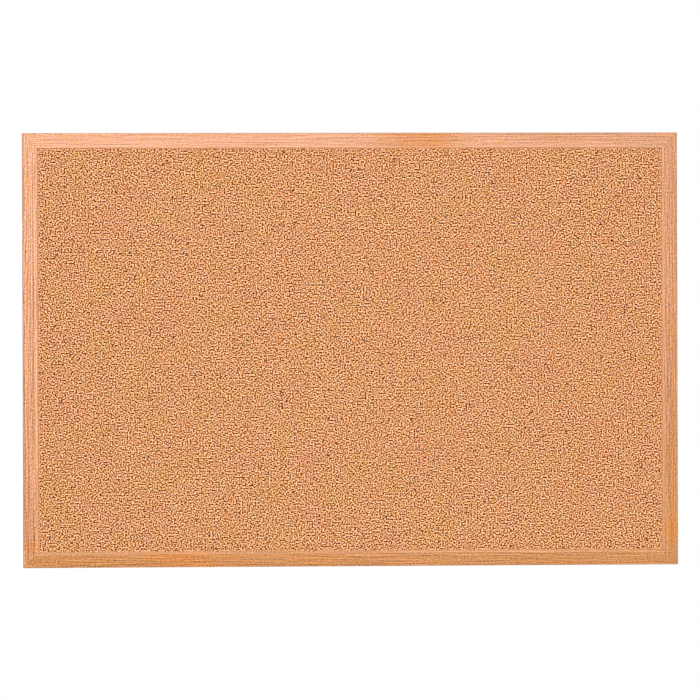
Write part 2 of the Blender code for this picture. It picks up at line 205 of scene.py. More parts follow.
class Wiring:
    """Adds nodes to one tree and joins them. A number, a colour or a socket serves as an input."""

    def __init__(self, tree):
        self.tree = tree

    def add(self, kind, inputs=None, **settings):
        node = self.tree.nodes.new(kind)
        for key, value in settings.items():
            setattr(node, key, value)
        for key, value in (inputs or {}).items():
            self.feed(node.inputs[key], value)
        return node

    def feed(self, socket, value):
        if isinstance(value, bpy.types.NodeSocket):
            self.tree.links.new(value, socket)
        elif socket.type == "RGBA" and len(value) == 3:
            socket.default_value = (*value, 1.0)
        else:
            socket.default_value = value

    def math(self, operation, *values):
        inputs = dict(enumerate(values))
        return self.add("ShaderNodeMath", inputs, operation=operation).outputs[0]

    def vector(self, operation, *values):
        inputs = dict(enumerate(values))
        return self.add("ShaderNodeVectorMath", inputs, operation=operation).outputs[0]

    def mix(self, factor, first, second, blend="MIX"):
        inputs = {0: factor, 6: first, 7: second}
        node = self.add("ShaderNodeMix", inputs, data_type="RGBA", blend_type=blend)
        return node.outputs[2]

    def fade(self, value, start, end, low=0.0, high=1.0):
        """low up to start, high from end on, with a soft step between."""
        inputs = {0: value, 1: start, 2: end, 3: low, 4: high}
        return self.add("ShaderNodeMapRange", inputs, interpolation_type="SMOOTHSTEP").outputs[0]

    def spread(self, value, start, end, low, high):
        """low up to start, high from end on, with a straight slope between."""
        inputs = {0: value, 1: start, 2: end, 3: low, 4: high}
        return self.add("ShaderNodeMapRange", inputs).outputs[0]

    def noise(self, place, scale, detail=2.0, roughness=0.5):
        """Noise over a place in metres. scale is cells a metre, one number or one for each axis."""
        if not isinstance(scale, (int, float)):
            place = self.vector("MULTIPLY", place, scale)
            scale = 1.0
        inputs = {"Vector": place, "Scale": scale, "Detail": detail, "Roughness": roughness}
        return self.add("ShaderNodeTexNoise", inputs).outputs[0]

    def face_noise(self, place, scale, detail=0.0, roughness=0.5):
        """Noise over an upright face, from a place whose x and y run along the face."""
        inputs = {"Vector": place, "Scale": scale, "Detail": detail, "Roughness": roughness}
        return self.add("ShaderNodeTexNoise", inputs, noise_dimensions="2D").outputs[0]

    def group(self, tree, **inputs):
        node = self.tree.nodes.new("ShaderNodeGroup")
        node.node_tree = tree
        for key, value in inputs.items():
            self.feed(node.inputs[key.replace("_", " ").title()], value)
        return node.outputs


def new_group(name, takes, gives):
    """A node group with named sockets, its wiring, and its input and output nodes' sockets."""
    tree = bpy.data.node_groups.new(name, "ShaderNodeTree")
    for socket, kind, default in takes:
        made = tree.interface.new_socket(socket, in_out="INPUT", socket_type=kind)
        made.default_value = default
    for socket, kind in gives:
        tree.interface.new_socket(socket, in_out="OUTPUT", socket_type=kind)
    wiring = Wiring(tree)
    return tree, wiring, wiring.add("NodeGroupInput").outputs, wiring.add("NodeGroupOutput").inputs


def new_finish(name):
    """A material, its wiring, its shader and its place socket, which is in metres."""
    material = bpy.data.materials.new(name)
    material.use_nodes = True
    wiring = Wiring(material.node_tree)
    shader = material.node_tree.nodes["Principled BSDF"]
    place = wiring.add("ShaderNodeTexCoord").outputs["Object"]
    return material, wiring, shader, place


def add_bump(wiring, shader, height, distance, strength=1.0):
    bump = wiring.add("ShaderNodeBump", {"Height": height})
    bump.inputs["Distance"].default_value = distance
    bump.inputs["Strength"].default_value = strength
    wiring.feed(shader.inputs["Normal"], bump.outputs[0])


FLOAT, VECTOR, COLOUR = "NodeSocketFloat", "NodeSocketVector", "NodeSocketColor"


def once(name):
    """Makes a builder give the node group of this name, built the first time that it is wanted."""

    def keep(build):
        return lambda: bpy.data.node_groups.get(name) or build(name)

    return keep


@once("Worn Edge")
def worn_edge(name):
    """1 on edges that handling has rubbed, broken up by noise, and 0 elsewhere."""
    tree, w, taken, given = new_group(
        name,
        [("Place", VECTOR, (0, 0, 0)), ("Width", FLOAT, 0.001), ("Break Up", FLOAT, 300.0)],
        [("Mask", FLOAT)],
    )
    rounded = w.add("ShaderNodeBevel", {"Radius": taken["Width"]}, samples=6).outputs[0]
    facing = w.add("ShaderNodeNewGeometry").outputs["Normal"]
    dot = w.add("ShaderNodeVectorMath", {0: rounded, 1: facing}, operation="DOT_PRODUCT")
    edge = w.spread(dot.outputs["Value"], 1.0, 0.86, 0.0, 1.0)
    rough = w.add(
        "ShaderNodeTexNoise",
        {"Vector": taken["Place"], "Scale": taken["Break Up"], "Detail": 3.0},
    ).outputs[0]
    kept = w.fade(rough, 0.34, 0.60)
    w.feed(given["Mask"], w.math("MULTIPLY", edge, kept))
    return tree


@once("Handled Surface")
def handled_dull(name):
    """Roughness that swings with a fine and a broad noise, and where grime settles."""
    tree, w, taken, given = new_group(
        name,
        [
            ("Place", VECTOR, (0, 0, 0)),
            ("Roughness", FLOAT, 0.5),
            ("Swing", FLOAT, 0.08),
            ("Fine", FLOAT, 900.0),
            ("Broad", FLOAT, 18.0),
        ],
        [("Roughness", FLOAT), ("Grime", FLOAT)],
    )
    fine = w.add(
        "ShaderNodeTexNoise", {"Vector": taken["Place"], "Scale": taken["Fine"], "Detail": 2.0}
    ).outputs[0]
    broad = w.add(
        "ShaderNodeTexNoise", {"Vector": taken["Place"], "Scale": taken["Broad"], "Detail": 4.0}
    ).outputs[0]
    both = w.math("ADD", w.math("SUBTRACT", fine, 0.5), w.math("SUBTRACT", broad, 0.5))
    swung = w.math("MULTIPLY_ADD", both, w.math("MULTIPLY", taken["Swing"], 2.0), taken["Roughness"])
    w.feed(given["Roughness"], swung)
    w.feed(given["Grime"], w.fade(broad, 0.45, 0.72))
    return tree


def combed(w, stick, scale):
    """Fine streaks, light beside dark: one noise less the same noise a step across."""
    seen = []
    for side in (STREAK_STEP, -STREAK_STEP):
        seen.append(w.noise(w.vector("ADD", stick, (0, side, 0)), scale, 0.0))
    return w.math("SUBTRACT", *seen)


@once("Oak Grain")
def oak_grain(name):
    """Flat-sawn red oak. Stick is along, in from the outer edge, and back from the front."""
    tree, w, taken, given = new_group(
        name,
        [
            ("Stick", VECTOR, (0, 0, 0)),
            ("Drift", FLOAT, 0.5),
            ("Start Tone", COLOUR, (0.78, 0.37, 0.21, 1)),
            ("End Tone", COLOUR, (0.67, 0.31, 0.165, 1)),
            ("Amber Tone", COLOUR, (0.6, 0.21, 0.045, 1)),
            ("Line Tone", COLOUR, (0.33, 0.11, 0.04, 1)),
            ("Line Pitch", FLOAT, 0.0065),
            ("Line Phase", FLOAT, 0.0),
            ("Line Depth", FLOAT, 0.4),
            ("Figure", FLOAT, 1.0),
            ("Amber", FLOAT, 0.3),
            ("Patch Middle", FLOAT, 0.5),
            ("Patch Reach", FLOAT, 0.06),
        ],
        [("Color", COLOUR), ("Height", FLOAT), ("Streak", FLOAT)],
    )
    along, across, back = w.add("ShaderNodeSeparateXYZ", {0: taken["Stick"]}).outputs
    wander = w.noise(taken["Stick"], (3.1, 45.0, 45.0), 3.0)
    bent = w.math("MULTIPLY_ADD", w.math("SUBTRACT", wander, 0.5), 0.0075, across)
    stick = w.add("ShaderNodeCombineXYZ", {0: along, 1: bent, 2: back}).outputs[0]
    broad = w.noise(stick, (3.0, 110.0, 110.0), 2.0)
    streak = combed(w, stick, (13.0, 520.0, 520.0))
    fleck = combed(w, w.vector("ADD", stick, (5.3, 0.2, 0.6)), (46.0, 560.0, 560.0))
    fine = w.noise(stick, (400.0, 760.0, 760.0), 0.0)
    pore = w.noise(stick, (70.0, 2600.0, 2600.0), 1.0)
    blush = w.noise(w.vector("ADD", stick, (3.7, 0.9, 0.4)), (55.0, 210.0, 210.0), 1.0)
    fading = w.noise(stick, (5.0, 90.0, 90.0), 2.0)

    tone = w.mix(taken["Drift"], taken["Start Tone"], taken["End Tone"])
    patch = w.fade(w.noise(stick, (7.0, 90.0, 90.0), 3.0), 0.50, 0.72)
    away = w.math("ABSOLUTE", w.math("SUBTRACT", along, taken["Patch Middle"]))
    heart = w.fade(w.math("DIVIDE", away, taken["Patch Reach"]), 1.3, 0.3)
    heart = w.math("MULTIPLY", heart, w.fade(broad, 0.30, 0.55, 0.35, 1.0))
    amber = w.math("MAXIMUM", w.math("MULTIPLY", patch, taken["Amber"]), heart)
    tone = w.mix(w.math("MULTIPLY", amber, 0.8), tone, taken["Amber Tone"])
    tone = w.mix(w.math("MULTIPLY", w.fade(blush, 0.5, 0.72), 0.75), tone,
                 w.mix(1.0, tone, (0.96, 0.98, 0.66), "MULTIPLY"))
    tone = w.mix(w.math("MULTIPLY", w.fade(blush, 0.5, 0.28), 0.75), tone,
                 w.mix(1.0, tone, (1.02, 0.96, 1.22), "MULTIPLY"))
    figure = w.math("MULTIPLY_ADD", fleck, 0.60, w.math("MULTIPLY", streak, -0.70))
    figure = w.math("MULTIPLY_ADD", w.math("SUBTRACT", fine, 0.5), 1.5, figure)
    level = w.spread(broad, 0.3, 0.7, 0.95, 1.05)
    lit = w.math("MULTIPLY_ADD", figure, taken["Figure"], level)
    tone = w.add("ShaderNodeVectorMath", {0: tone, 3: lit}, operation="SCALE").outputs[0]

    off = w.math("PINGPONG", w.math("SUBTRACT", bent, taken["Line Phase"]),
                 w.math("MULTIPLY", taken["Line Pitch"], 0.5))
    line = w.fade(off, 0.0014, 0.0003)
    line = w.math("MULTIPLY", line, w.fade(fading, 0.30, 0.58))
    tone = w.mix(w.math("MULTIPLY", line, taken["Line Depth"]), tone, taken["Line Tone"])
    hole = w.fade(pore, 0.58, 0.70)
    ticks = w.math("MULTIPLY", hole, w.fade(streak, -0.08, 0.12, 0.25, 0.75))
    tone = w.mix(w.math("MULTIPLY", ticks, 0.5), tone, taken["Line Tone"])
    # The outer edge is painted darker and greyer. The eased inner edge and the lip's inner face are
    # painted paler: a painted highlight, which also lightens the shade on the lip's inner face.
    inner = w.math("SUBTRACT", RAIL_FACE, across)
    tone = w.mix(w.fade(across, 0.0019, 0.0004, 0.0, 0.45), tone, (0.50, 0.33, 0.25))
    tone = w.mix(w.fade(inner, 0.0028, 0.0016, 0.0, 0.18), tone, (0.98, 0.60, 0.38))
    tone = w.mix(w.fade(inner, 0.0006, 0.0001, 0.0, 0.55), tone, (1.0, 0.62, 0.36))
    w.feed(given["Color"], tone)
    sunk = w.math("ADD", w.math("MULTIPLY", ticks, 0.8), w.math("MULTIPLY", line, 0.3))
    w.feed(given["Height"], w.math("SUBTRACT", w.math("MULTIPLY", fine, 0.25), sunk))
    w.feed(given["Streak"], w.fade(streak, -0.1, 0.2))
    return tree


@once("Zinc Plating")
def zinc_plate(name):
    """Zinc in small flakes, with stains and fine scratches."""
    tree, w, taken, given = new_group(
        name,
        [
            ("Place", VECTOR, (0, 0, 0)),
            ("Tone", COLOUR, (0.62, 0.62, 0.6, 1)),
            ("Roughness", FLOAT, 0.34),
            ("Spangle", FLOAT, 700.0),
        ],
        [("Color", COLOUR), ("Roughness", FLOAT), ("Height", FLOAT)],
    )
    flake = w.add("ShaderNodeTexVoronoi", {"Vector": taken["Place"], "Scale": taken["Spangle"]})
    tint = w.add("ShaderNodeSeparateColor", {0: flake.outputs["Color"]}).outputs[0]
    stain = w.noise(taken["Place"], 160.0, 4.0)
    scratch = w.noise(taken["Place"], (300.0, 5000.0, 900.0), 2.0)
    tone = w.mix(w.math("MULTIPLY", tint, 0.28), taken["Tone"], (0.40, 0.41, 0.42))
    tone = w.mix(w.math("MULTIPLY", w.fade(stain, 0.5, 0.75), 0.35), tone, (0.50, 0.46, 0.36))
    w.feed(given["Color"], tone)
    rough = w.math("MULTIPLY_ADD", tint, 0.12, taken["Roughness"])
    rough = w.math("MULTIPLY_ADD", w.fade(stain, 0.45, 0.7), 0.16, rough)
    w.feed(given["Roughness"], rough)
    w.feed(given["Height"], w.math("MULTIPLY_ADD", scratch, 0.6, w.math("MULTIPLY", tint, 0.4)))
    return tree


# Pieces


@once("Smooth Up To Crease")
def smooth_shading(name):
    """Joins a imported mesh's triangles and shades them smooth up to a crease."""
    tree = bpy.data.node_groups.new(name, "GeometryNodeTree")
    tree.is_modifier = True
    tree.interface.new_socket("Geometry", in_out="INPUT", socket_type="NodeSocketGeometry")
    tree.interface.new_socket("Geometry", in_out="OUTPUT", socket_type="NodeSocketGeometry")
    w = Wiring(tree)
    given = w.add("NodeGroupInput").outputs[0]
    joined = w.add("GeometryNodeMergeByDistance", {"Geometry": given, "Distance": 1e-5})
    plain = w.add("GeometryNodeRemoveAttribute", {"Geometry": joined.outputs[0]})
    w.feed(plain.inputs["Name"], "custom_normal")
    soft = w.add("GeometryNodeSetShadeSmooth", {"Geometry": plain.outputs[0]}, domain="FACE")
    soft.inputs["Shade Smooth"].default_value = True
    crease = w.add(
        "FunctionNodeCompare",
        {0: w.add("GeometryNodeInputMeshEdgeAngle").outputs[0], 1: CREASE},
        data_type="FLOAT",
        operation="GREATER_THAN",
    )
    hard = w.add(
        "GeometryNodeSetShadeSmooth",
        {"Geometry": soft.outputs[0], "Selection": crease.outputs[0]},
        domain="EDGE",
    )
    hard.inputs["Shade Smooth"].default_value = False
    w.feed(w.add("NodeGroupOutput").inputs[0], hard.outputs[0])
    return tree


def finish_node(name, material):
    """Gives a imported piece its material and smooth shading."""
    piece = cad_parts[name]
    piece.material_slots[0].material = material
    modifier = piece.modifiers.new("smooth_up_to_crease", "NODES")
    modifier.node_group = smooth_shading()


def add_piece(name, mesh, material):
    piece = bpy.data.objects.new(name, mesh)
    bpy.context.scene.collection.objects.link(piece)
    mesh.materials.append(material)
    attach(piece, "board")
    return piece


# Cork


def lay_seeds(width, height, pitch, rng):
    """Middles of the granules: staggered rows, well shaken, a little past the sheet's edges."""
    column = pitch * math.sqrt(2) * GRANULE_STRETCH
    row = pitch / math.sqrt(2) / GRANULE_STRETCH
    rows = int(height / row) + 12
    columns = int(width / column) + 8
    across, up = np.meshgrid(np.arange(columns), np.arange(rows))
    x = (across + 0.5 * (up % 2)) * column
    z = up * row
    seeds = np.stack([x.ravel(), z.ravel()], 1)
    seeds -= (seeds.min(0) + seeds.max(0)) / 2
    return seeds + rng.uniform(-SHAKE, SHAKE, seeds.shape) * pitch


def unlike_neighbours(values, pairs):
    """Evens out chance clusters: each value is pushed away from its neighbours' average."""
    total, count = np.zeros(len(values)), np.zeros(len(values))
    for here, there in (pairs.T, pairs.T[::-1]):
        np.add.at(total, here, values[there])
        np.add.at(count, here, 1)
    pushed = values - total / np.maximum(count, 1)
    ranked = np.empty(len(values))
    ranked[np.argsort(pushed)] = np.linspace(0, 1, len(values))
    return ranked


def granule_cells(seeds):
    """Corners shared by the granules, and for each cell edge its granule and its two corners."""
    triangles = np.array(delaunay_2d_cdt([Vector(s) for s in seeds], [], [], 0, 1e-9)[2])
    a, b, c = (seeds[triangles[:, i]] for i in range(3))
    ab, ac = b - a, c - a
    cross = 2 * (ab[:, 0] * ac[:, 1] - ab[:, 1] * ac[:, 0])
    ab2, ac2 = (ab**2).sum(1), (ac**2).sum(1)
    corners = a + np.stack(
        [(ac[:, 1] * ab2 - ab[:, 1] * ac2) / cross, (ab[:, 0] * ac2 - ac[:, 0] * ab2) / cross], 1
    )
    granule = triangles.ravel()
    corner = np.repeat(np.arange(len(triangles)), 3)
    spoke = corners[corner] - seeds[granule]
    order = np.lexsort((np.arctan2(spoke[:, 1], spoke[:, 0]), granule))
    granule, corner = granule[order], corner[order]
    starts = np.flatnonzero(np.r_[True, granule[1:] != granule[:-1]])
    follower = np.arange(len(granule)) + 1
    follower[np.r_[starts[1:], len(granule)] - 1] = starts
    return triangles, corners, granule, corner, corner[follower]


def cork_mesh(settings):
    """A slab whose front is a pressed bed of granules, each with its own height and tone."""
    low, high = CORK_LOW, CORK_HIGH
    size = high - low
    rng = np.random.default_rng(settings.seed)
    seeds = lay_seeds(size.x, size.z, settings.granule_size, rng)
    triangles, corners, granule, first, second = granule_cells(seeds)
    reach = np.array([size.x, size.z]) / 2 + settings.granule_size * 1.5
    kept = (np.abs(seeds[granule]) < reach).all(1)
    granule, first, second = granule[kept], first[kept], second[kept]

    crown = rng.uniform(0.0, CROWN_FALL, len(seeds))
    pit = unlike_neighbours(rng.uniform(0, 1, len(corners)), np.stack([first, second], 1))
    pit = PIT_FLOOR + (1 - PIT_FLOOR) * pit
    flat = np.concatenate([seeds, corners])
    depth = np.concatenate([crown, pit]) * settings.relief
    sides = np.concatenate([triangles[:, [0, 1]], triangles[:, [1, 2]], triangles[:, [2, 0]]])
    tone = unlike_neighbours(rng.uniform(0, 1, len(seeds)), sides)
    hue = rng.uniform(0, 1, len(seeds))

    mesh = bpy.data.meshes.new("cork_face")
    points = np.stack([flat[:, 0], low.y + depth, flat[:, 1]], 1)
    faces = np.stack([granule, first + len(seeds), second + len(seeds)], 1)
    mesh.from_pydata(points.tolist(), [], faces.tolist())
    marks = mesh.attributes.new("granule", "FLOAT_COLOR", "FACE")
    spare, solid = np.zeros(len(granule)), np.ones(len(granule))
    shade = np.stack([tone[granule], hue[granule], spare, solid], 1)
    marks.data.foreach_set("color", shade.ravel().astype(np.float32))
    # Painted shade: each pit's seam value is its depth, so deeper pits are painted darker; a few
    # hold a real bark crumb instead.
    gap = np.where(rng.uniform(0, 1, len(corners)) < CRUMBS, CRUMB_DARK, pit)
    seam = mesh.attributes.new("seam", "FLOAT", "POINT")
    seam.data.foreach_set("value", np.r_[np.zeros(len(seeds)), gap].astype(np.float32))

    bm = bmesh.new()
    bm.from_mesh(mesh)
    bmesh.ops.delete(bm, geom=[v for v in bm.verts if not v.link_faces], context="VERTS")
    for axis, place in (("x", low.x), ("x", high.x), ("z", low.z), ("z", high.z)):
        middle = Vector((0, low.y, 0))
        setattr(middle, axis, place)
        outwards = Vector((0, 0, 0))
        setattr(outwards, axis, math.copysign(1, place))
        everything = bm.verts[:] + bm.edges[:] + bm.faces[:]
        bmesh.ops.bisect_plane(
            bm, geom=everything, plane_co=middle, plane_no=outwards, clear_outer=True, dist=1e-6
        )
    bmesh.ops.dissolve_degenerate(bm, edges=bm.edges, dist=5e-5)
    rim = [e for e in bm.edges if e.is_boundary]
    skirt = bmesh.ops.extrude_edge_only(bm, edges=rim)["geom"]
    for vertex in (v for v in skirt if isinstance(v, bmesh.types.BMVert)):
        vertex.co.y = high.y
    rim = [e for e in bm.edges if e.is_boundary]
    bmesh.ops.holes_fill(bm, edges=rim, sides=0)
    bmesh.ops.recalc_face_normals(bm, faces=bm.faces)
    for face in bm.faces:
        face.smooth = abs(face.normal.y) > 0.3 and len(face.verts) == 3
    lay_map(bm, low, high)
    bm.to_mesh(mesh)
    bm.free()
    return mesh


def lay_map(bm, low, high):
    """A map that gives the front nearly the whole square, and the hidden sides a strip below."""
    uv = bm.loops.layers.uv.new(BAKE_MAP)
    size = high - low
    for face in bm.faces:
        front = len(face.verts) == 3 and face.normal.y < -0.3
        for loop in face.loops:
            co = loop.vert.co
            u = (co.x - low.x) / size.x
            v = (co.z - low.z) / size.z
            depth = (co.y - low.y) / size.y
            if front:
                u = MAP_MARGIN + (1 - 2 * MAP_MARGIN) * u
                loop[uv].uv = (u, MAP_STRIP + (1 - MAP_MARGIN - MAP_STRIP) * v)
            else:
                u = MAP_MARGIN + (1 - 2 * MAP_MARGIN) * (u + v) / 2
                loop[uv].uv = (u, MAP_MARGIN / 2 + (MAP_STRIP - 2 * MAP_MARGIN) * depth)


def slanting_shreds(w, face, slope):
    """Short ridges that lie square to a slope: one noise less the same noise a step up the slope."""
    step = Vector((math.cos(slope), math.sin(slope), 0)) * SHRED_STEP
    seen = [w.face_noise(w.vector("ADD", face, side * step), SHREDS) for side in (1, -1)]
    return w.math("SUBTRACT", *seen)


def cork_finish(settings):
    material, w, shader, place = new_finish("Pressed Cork")
    marks = w.add("ShaderNodeAttribute", attribute_name="granule").outputs["Color"]
    tone, hue = w.add("ShaderNodeSeparateColor", {0: marks}).outputs[:2]
    seam = w.add("ShaderNodeAttribute", attribute_name="seam").outputs["Fac"]
    x, _, z = w.add("ShaderNodeSeparateXYZ", {0: place}).outputs
    face = w.add("ShaderNodeCombineXYZ", {0: x, 1: z}).outputs[0]
    grit = w.face_noise(face, 1100.0, 2.0, 0.6)
    crumb = w.face_noise(w.vector("ADD", face, (3.2, 5.9, 0.0)), 450.0)
    falling = slanting_shreds(w, w.vector("ADD", face, (1.3, 2.9, 0.0)), SHRED_SLOPES[0])
    rising = slanting_shreds(w, w.vector("ADD", face, (7.7, 4.1, 0.0)), SHRED_SLOPES[1])
    shred = w.math("ADD", falling, rising)
    cloud = w.noise(place, 23.0, 3.0)
    haze = w.noise(place, 60.0, 2.0)

    lit = w.math("MULTIPLY_ADD", tone, 0.35, 0.40)
    lit = w.math("MULTIPLY_ADD", w.math("SUBTRACT", crumb, 0.5), 0.35, lit)
    lit = w.math("MULTIPLY_ADD", shred, 2.2, lit)
    base = w.mix(w.fade(lit, -0.1, 0.45), settings.brown, settings.middle)
    base = w.mix(w.fade(lit, 0.4, 1.15), base, settings.pale)
    base = w.mix(w.fade(cloud, 0.48, 0.68), base, (1.01, 0.96, 0.985), "MULTIPLY")
    base = w.mix(w.fade(cloud, 0.50, 0.34), base, (0.985, 1.0, 0.91), "MULTIPLY")
    base = w.mix(w.fade(haze, 0.50, 0.75), base, (0.975, 1.0, 0.90), "MULTIPLY")
    base = w.mix(w.fade(hue, 0.75, 1.0), base, (1.03, 0.92, 0.95), "MULTIPLY")
    # Painted shade in the pits, as dark as they are deep, with real bark crumbs, grit and dark
    # shreds mixed towards bark.
    pit_shade_crumbs_and_shreds = w.math("MULTIPLY_ADD", w.math("SUBTRACT", grit, 0.5), 0.1, seam)
    pit_shade_crumbs_and_shreds = w.math("MULTIPLY_ADD", shred, -1.15, pit_shade_crumbs_and_shreds)
    base = w.mix(w.fade(pit_shade_crumbs_and_shreds, 0.31, 1.05), base, settings.bark)
    # Painted light: within this width of the frame the cork is mixed towards pale, against the shade
    # cast by the lip.
    inside = (FRAME_HIGH.x - RAIL_FACE, FRAME_HIGH.z - RAIL_FACE)
    past = [w.math("SUBTRACT", w.math("ABSOLUTE", side), end) for side, end in zip((x, z), inside)]
    rim = w.fade(w.math("MAXIMUM", *past), -PAINTED_LIP_LIGHT_WIDTH, 0.0, 0.0, 0.45)
    base = w.mix(rim, base, settings.pale)
    w.feed(shader.inputs["Base Color"], base)
    dull = w.group(handled_dull(), place=place, roughness=0.88, swing=0.08)
    w.feed(shader.inputs["Roughness"], dull["Roughness"])
    shader.inputs["Specular IOR Level"].default_value = 0.1
    height = w.math("SUBTRACT", w.math("MULTIPLY", grit, 0.5), w.math("MULTIPLY", seam, 0.6))
    add_bump(w, shader, height, 0.0006, 0.6)
    return material


class CORKBOARD_OT_lay_cork(bpy.types.Operator):
    """Presses a sheet of cork granules in place of the plain slab"""

    bl_idname = "cork_board.lay_cork"
    bl_label = "Lay the cork"

    def execute(self, context):
        settings = context.scene.cork_board_cork
        piece = add_piece("cork_face", cork_mesh(settings), cork_finish(settings))
        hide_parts("cork_sheet")
        return {"FINISHED"}


# Oak


def stick_place(w, place, rail):
    """Place along a stick from its cut, in from its outer edge, and back from its front."""
    x, y, z = w.add("ShaderNodeSeparateXYZ", {0: place}).outputs
    steps = {
        "top_rail": (x, -FRAME_LOW.x, z, -1, FRAME_HIGH.z),
        "bottom_rail": (x, -FRAME_LOW.x, z, 1, -FRAME_LOW.z),
        "left_stile": (z, -FRAME_LOW.z, x, 1, -FRAME_LOW.x),
        "right_stile": (z, -FRAME_LOW.z, x, -1, FRAME_HIGH.x),
    }
    along, start, across, sign, edge = steps[rail]
    return w.add(
        "ShaderNodeCombineXYZ",
        {
            0: w.math("ADD", along, start + STICK_CUT[rail]),
            1: w.math("MULTIPLY_ADD", across, float(sign), edge),
            2: w.math("SUBTRACT", y, FRAME_LOW.y),
        },
    ).outputs[0]


def rail_drift(w, place, rail):
    """0 where a rail begins and 1 where it ends, with an uneven passage. Rails run left to right and
    stiles top to bottom, so the tones it fades between paint the upper left paler: partly the
    sticks' own oak, partly painted light falling from the upper left.
    """
    x, _, z = w.add("ShaderNodeSeparateXYZ", {0: place}).outputs
    if rail.endswith("rail"):
        share_along = w.spread(x, FRAME_LOW.x, FRAME_HIGH.x, 0.0, 1.0)
    else:
        share_along = w.spread(z, FRAME_HIGH.z, FRAME_LOW.z, 0.0, 1.0)
    uneven = w.noise(place, 9.0, 2.0)
    return w.math("MULTIPLY_ADD", w.math("SUBTRACT", uneven, 0.5), 0.7, share_along)


def oak_finish(rail, start, end, figure, lines, amber, patch, settings):
    """One stick's oak. lines is the grain lines' pitch, phase and depth.

    patch is an amber patch's middle, from the stick's left or lower end, and its reach.
    """
    material, w, shader, place = new_finish(f"Oak {rail.replace('_', ' ').title()}")
    pitch, phase, depth = lines
    grain = w.group(
        oak_grain(),
        stick=stick_place(w, place, rail),
        drift=rail_drift(w, place, rail),
        start_tone=start,
        end_tone=end,
        amber_tone=settings.amber,
        line_tone=settings.line,
        line_pitch=pitch,
        line_phase=phase,
        line_depth=depth,
        figure=figure,
        amber=amber,
        patch_middle=STICK_CUT[rail] + patch[0],
        patch_reach=patch[1],
    )
    edge = w.group(worn_edge(), place=place, width=0.0010, break_up=260.0)["Mask"]
    worn = w.mix(w.math("MULTIPLY", edge, 0.12), grain["Color"], (0.80, 0.56, 0.42))
    w.feed(shader.inputs["Base Color"], worn)
    dull = w.group(handled_dull(), place=place, roughness=settings.gloss, swing=0.07)
    rough = w.math("MULTIPLY_ADD", grain["Streak"], 0.1, dull["Roughness"])
    w.feed(shader.inputs["Roughness"], rough)
    shader.inputs["Specular IOR Level"].default_value = 0.3
    add_bump(w, shader, grain["Height"], 0.00012, 0.7)
    return material


class CORKBOARD_OT_varnish_frame(bpy.types.Operator):
    """Gives each stick of the moulding its own run of oak grain under satin varnish"""

    bl_idname = "cork_board.varnish_frame"
    bl_label = "Varnish the frame"

    def execute(self, context):
        s = context.scene.cork_board_oak
        # Each stick fades from its start tone to its end tone towards the lower right; the paler
        # upper left is partly the oak's own tone, partly painted light from the upper left.
        sticks = (
            ("top_rail", s.rosy, s.warm, 0.75, (0.0061, 0.0030, 0.16), 0.30, (0.545, 0.060)),
            ("bottom_rail", s.golden, s.golden, 1.1, (0.0052, 0.0022, 0.16), 0.30, (0.215, 0.05)),
            ("left_stile", s.rosy, s.honey, 1.25, (0.0067, 0.0083, 0.55), 0.12, (0.03, 0.01)),
            ("right_stile", s.warm, s.golden, 1.1, (0.0038, 0.0034, 0.36), 0.20, (0.05, 0.02)),
        )
        for rail, start, end, figure, lines, amber, patch in sticks:
            finish_node(rail, oak_finish(rail, start, end, figure, lines, amber, patch, s))
        return {"FINISHED"}


# Mitre glue lines

GLUE_HALF = 0.00013
GLUE_DEPTH = 0.0080
GLUE_SHY = 0.0005
LIP_DEPTH = 0.0038
RABBET_WALL = 0.0140
OUTER_EASE = 0.0016
INNER_EASE = 0.0012


def glue_mesh(name, corner, side, up):
    """A thin wall of set glue in a mitre: stepped like the moulding, just shy of its faces."""
    inner = RAIL_FACE - GLUE_SHY
    reach = [(GLUE_SHY, OUTER_EASE / 2), (OUTER_EASE, GLUE_SHY / 2)]
    reach += [(RAIL_FACE - INNER_EASE, GLUE_SHY / 2), (inner, 2 * GLUE_SHY), (inner, LIP_DEPTH)]
    reach += [(RABBET_WALL, LIP_DEPTH), (RABBET_WALL, GLUE_DEPTH), (GLUE_SHY, GLUE_DEPTH)]
    inwards = Vector((-side, 0, -up))
    aside = Vector((side, 0, -up)).normalized() * GLUE_HALF
    bm = bmesh.new()
    walls = []
    for shift in (aside, -aside):
        wall = [bm.verts.new(corner + inwards * s + Vector((0, d, 0)) + shift) for s, d in reach]
        bm.faces.new(wall)
        walls.append(wall)
    for i in range(len(reach)):
        j = (i + 1) % len(reach)
        bm.faces.new([walls[0][i], walls[0][j], walls[1][j], walls[1][i]])
    bmesh.ops.recalc_face_normals(bm, faces=bm.faces)
    mesh = bpy.data.meshes.new(name)
    bm.to_mesh(mesh)
    bm.free()
    return mesh


class CORKBOARD_OT_glue_mitres(bpy.types.Operator):
    """Fills the four mitres with a thin line of set wood glue"""

    bl_idname = "cork_board.glue_mitres"
    bl_label = "Glue the mitres"

    def execute(self, context):
        material, w, shader, place = new_finish("Set Wood Glue")
        crumb = w.noise(place, 900.0, 3.0)
        line = context.scene.cork_board_oak.line
        tone = w.mix(w.fade(crumb, 0.35, 0.65), line, (0.62, 0.30, 0.15))
        w.feed(shader.inputs["Base Color"], tone)
        dull = w.group(handled_dull(), place=place, roughness=0.6, swing=0.1)
        w.feed(shader.inputs["Roughness"], dull["Roughness"])
        add_bump(w, shader, crumb, 0.0001)
        for up, row in ((1, "top"), (-1, "bottom")):
            for side, column in ((-1, "left"), (1, "right")):
                corner = Vector((
                    FRAME_HIGH.x if side > 0 else FRAME_LOW.x,
                    FRAME_LOW.y,
                    FRAME_HIGH.z if up > 0 else FRAME_LOW.z,
                ))
                name = f"mitre_glue_{row}_{column}"
                add_piece(name, glue_mesh(name, corner, side, up), material)
        return {"FINISHED"}


# Back and hardware


